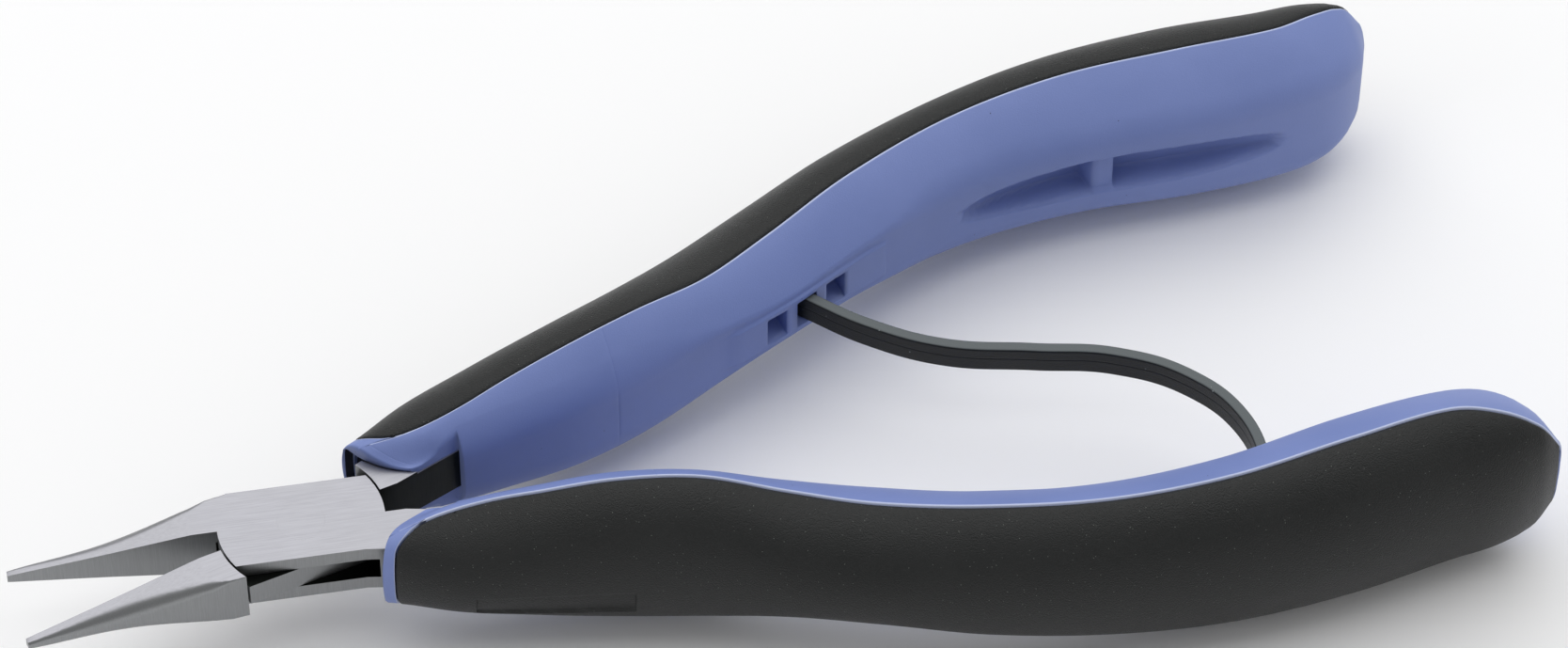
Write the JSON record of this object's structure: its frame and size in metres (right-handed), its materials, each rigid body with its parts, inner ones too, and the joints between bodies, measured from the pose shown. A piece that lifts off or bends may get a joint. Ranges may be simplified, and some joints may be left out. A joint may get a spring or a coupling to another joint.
{
  "type": "jewellery pliers",
  "caption": "Slim half-round nosed pliers with smooth flat gripping faces, a box joint, long contoured two-part grips and an S-shaped return spring.",
  "frame": {"origin": "on the pivot axis, halfway between the two ground flats of the joint", "axes": "+Z along the pivot axis; jaws towards -X, handles towards +X; X halves the angle between the open levers; the handle at +Y carries the lower jaw"},
  "size_m": [0.1466, 0.0666, 0.021],
  "materials": {
    "brushed_tool_steel": "finely brushed along the jaws and the joint flats",
    "pin_steel": "ground flush with the joint flats",
    "blue_core_plastic": "satin moulded hard plastic",
    "black_soft_cover": "fine pebble grain",
    "black_spring": "satin"
  },
  "bodies": {
    "lower_handle_side": {"cheek_lever": "brushed_tool_steel", "pivot_pin": "pin_steel", "lower_grip_core": "blue_core_plastic", "lower_grip_cover": "black_soft_cover", "return_spring": "black_spring"},
    "upper_handle_side": {"tongue_lever": "brushed_tool_steel", "upper_grip_core": "blue_core_plastic", "upper_grip_cover": "black_soft_cover"}
  },
  "joints": [
    {"name": "box_joint", "type": "hinge", "parent": "lower_handle_side", "child": "upper_handle_side", "pos_m": [0, 0, 0], "axis": [0, 0, 1], "range_deg": [-15.4, 4], "stiffness_Nm_per_rad": 1.2, "deforming": ["return_spring"]}
  ]
}
